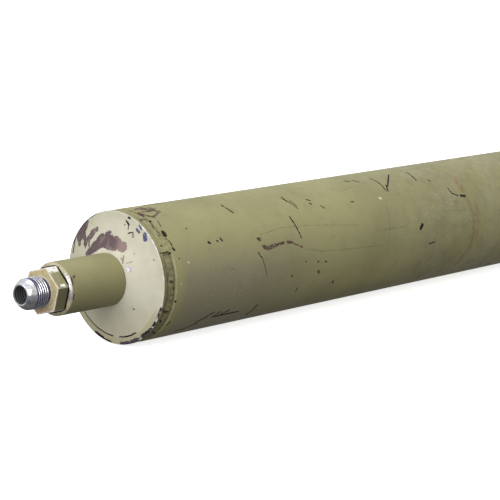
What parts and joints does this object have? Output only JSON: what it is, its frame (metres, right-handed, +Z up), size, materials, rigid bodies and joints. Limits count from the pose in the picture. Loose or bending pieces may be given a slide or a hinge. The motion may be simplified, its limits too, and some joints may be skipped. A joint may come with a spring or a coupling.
{
  "type": "hydraulic cylinder",
  "caption": "Welded double-acting hydraulic cylinder: plain round barrel, coned base cap with a central port stub and flared hose adapter, side head port, and a sliding rod with a bearing eye.",
  "frame": {"origin": "on the ground under the middle of the whole object, lying down with its rod in", "axes": "+X along the barrel from the base cap to the rod eye, +Z up through the head port, +Y to the left of someone looking along +X"},
  "size_m": [0.9186, 0.0884, 0.1332],
  "materials": {
    "barrel_paint": "satin olive drab enamel, scratched and chipped",
    "cap_paint": "matt cream face with chips, olive drab rim",
    "weld_paint": "olive drab enamel over weld ripples",
    "stub_paint": "satin olive drab enamel, bare worn end",
    "boss_paint": "satin olive drab enamel",
    "eye_paint": "olive drab enamel over a rough forging",
    "weld_steel": "bare weld",
    "zinc": "bright zinc plate",
    "steel": "turned steel",
    "bearing_steel": "ground and greased steel",
    "chrome": "polished hard chrome",
    "gland_iron": "turned ductile iron",
    "piston_iron": "turned ductile iron",
    "black_oxide": "black oxide",
    "brass": "dull brass",
    "nitrile": "satin black rubber",
    "urethane": "blue polyurethane",
    "ptfe": "off-white filled plastic",
    "filled_nylon": "brown filled nylon"
  },
  "bodies": {
    "barrel": {"barrel_tube": "barrel_paint", "base_cap": "cap_paint", "base_weld_bead": "weld_paint", "port_stub": "stub_paint", "stub_weld_bead": "weld_steel", "base_port_adapter": "zinc", "base_port_o_ring": "nitrile", "head_port_boss": "boss_paint", "head_port_weld_bead": "weld_paint", "head_port_adapter": "zinc", "head_port_o_ring": "nitrile", "gland": "gland_iron", "gland_o_ring": "nitrile", "gland_backup_ring": "ptfe", "gland_wear_ring": "filled_nylon", "rod_buffer_seal": "ptfe", "rod_seal": "urethane", "rod_wiper": "urethane", "gland_lock_screw": "black_oxide"},
    "piston_seals": {"piston_seal": "ptfe", "piston_seal_expander": "nitrile", "piston_wear_ring_a": "filled_nylon", "piston_wear_ring_b": "filled_nylon"},
    "rod": {"rod": "chrome", "piston": "piston_iron", "piston_nut": "steel", "piston_o_ring": "nitrile", "rod_eye": "eye_paint", "eye_race": "bearing_steel", "eye_circlip_left": "black_oxide", "eye_circlip_right": "black_oxide", "clamp_screw_a": "black_oxide", "clamp_screw_b": "black_oxide", "grease_nipple": "brass"},
    "ball": {"eye_ball": "bearing_steel"}
  },
  "joints": [
    {"name": "rod_slide", "type": "slide", "parent": "barrel", "child": "piston_seals", "axis": [1, 0, 0], "range_m": [0, 0.508]},
    {"name": "rod_turn", "type": "hinge", "parent": "piston_seals", "child": "rod", "pos_m": [0, 0, 0.04417], "axis": [1, 0, 0], "continuous": true},
    {"name": "ball_tilt", "type": "hinge", "parent": "rod", "child": "ball", "pos_m": [0.41609, 0, 0.04417], "axis": [1, 0, 0], "range_deg": [-12, 12]}
  ]
}
